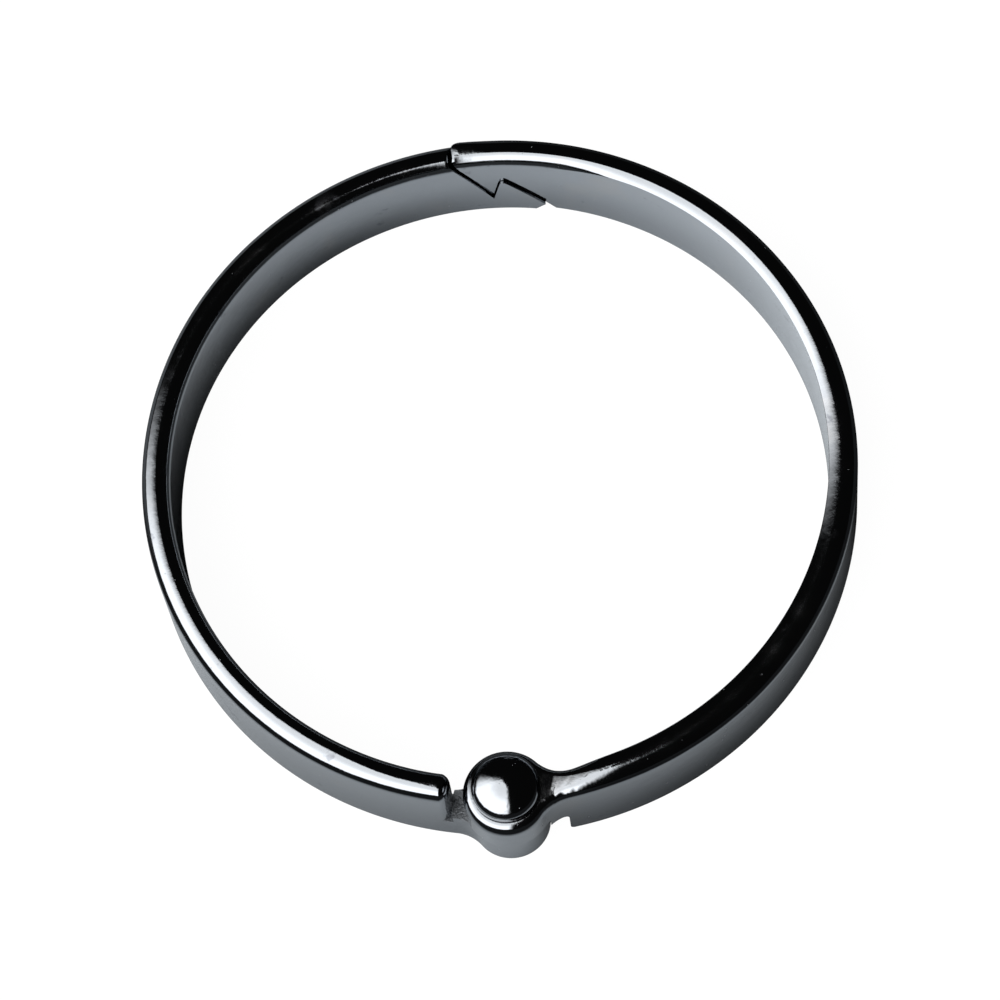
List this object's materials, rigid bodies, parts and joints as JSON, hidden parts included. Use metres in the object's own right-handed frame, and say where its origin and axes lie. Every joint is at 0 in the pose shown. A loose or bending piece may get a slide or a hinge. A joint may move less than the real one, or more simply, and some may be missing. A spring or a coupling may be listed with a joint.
{
  "type": "hinged snap key ring",
  "caption": "Flat ring for keys, made of half bands riveted together at a lap hinge and hooked together at a barbed snap clasp.",
  "frame": {"origin": "on the hinge pivot's axis, in the plane of the ring's underside", "axes": "+Z along the ring's axis, away from the underside and through the rivet's domed head; +Y from the hinge to the clasp; +X to the half with the upper hinge leaf"},
  "size_m": [0.0399, 0.0416, 0.0072],
  "materials": {
    "black_nickel_left": "polished",
    "black_nickel_right": "polished",
    "black_nickel_rivet": "polished"
  },
  "bodies": {
    "left_half": {"left_half_ring": "black_nickel_left"},
    "pivot": {"pivot_rivet": "black_nickel_rivet"},
    "right_half": {"right_half_ring": "black_nickel_right"}
  },
  "joints": [
    {"name": "latch_flex", "type": "hinge", "parent": "left_half", "child": "pivot", "pos_m": [0, 0, 0.00135], "axis": [1, 0, 0], "range_deg": [0, 3], "stiffness_Nm_per_rad": 0.2},
    {"name": "ring_hinge", "type": "hinge", "parent": "pivot", "child": "right_half", "pos_m": [0, 0, 0], "axis": [0, 0, -1], "range_deg": [0, 120]}
  ]
}
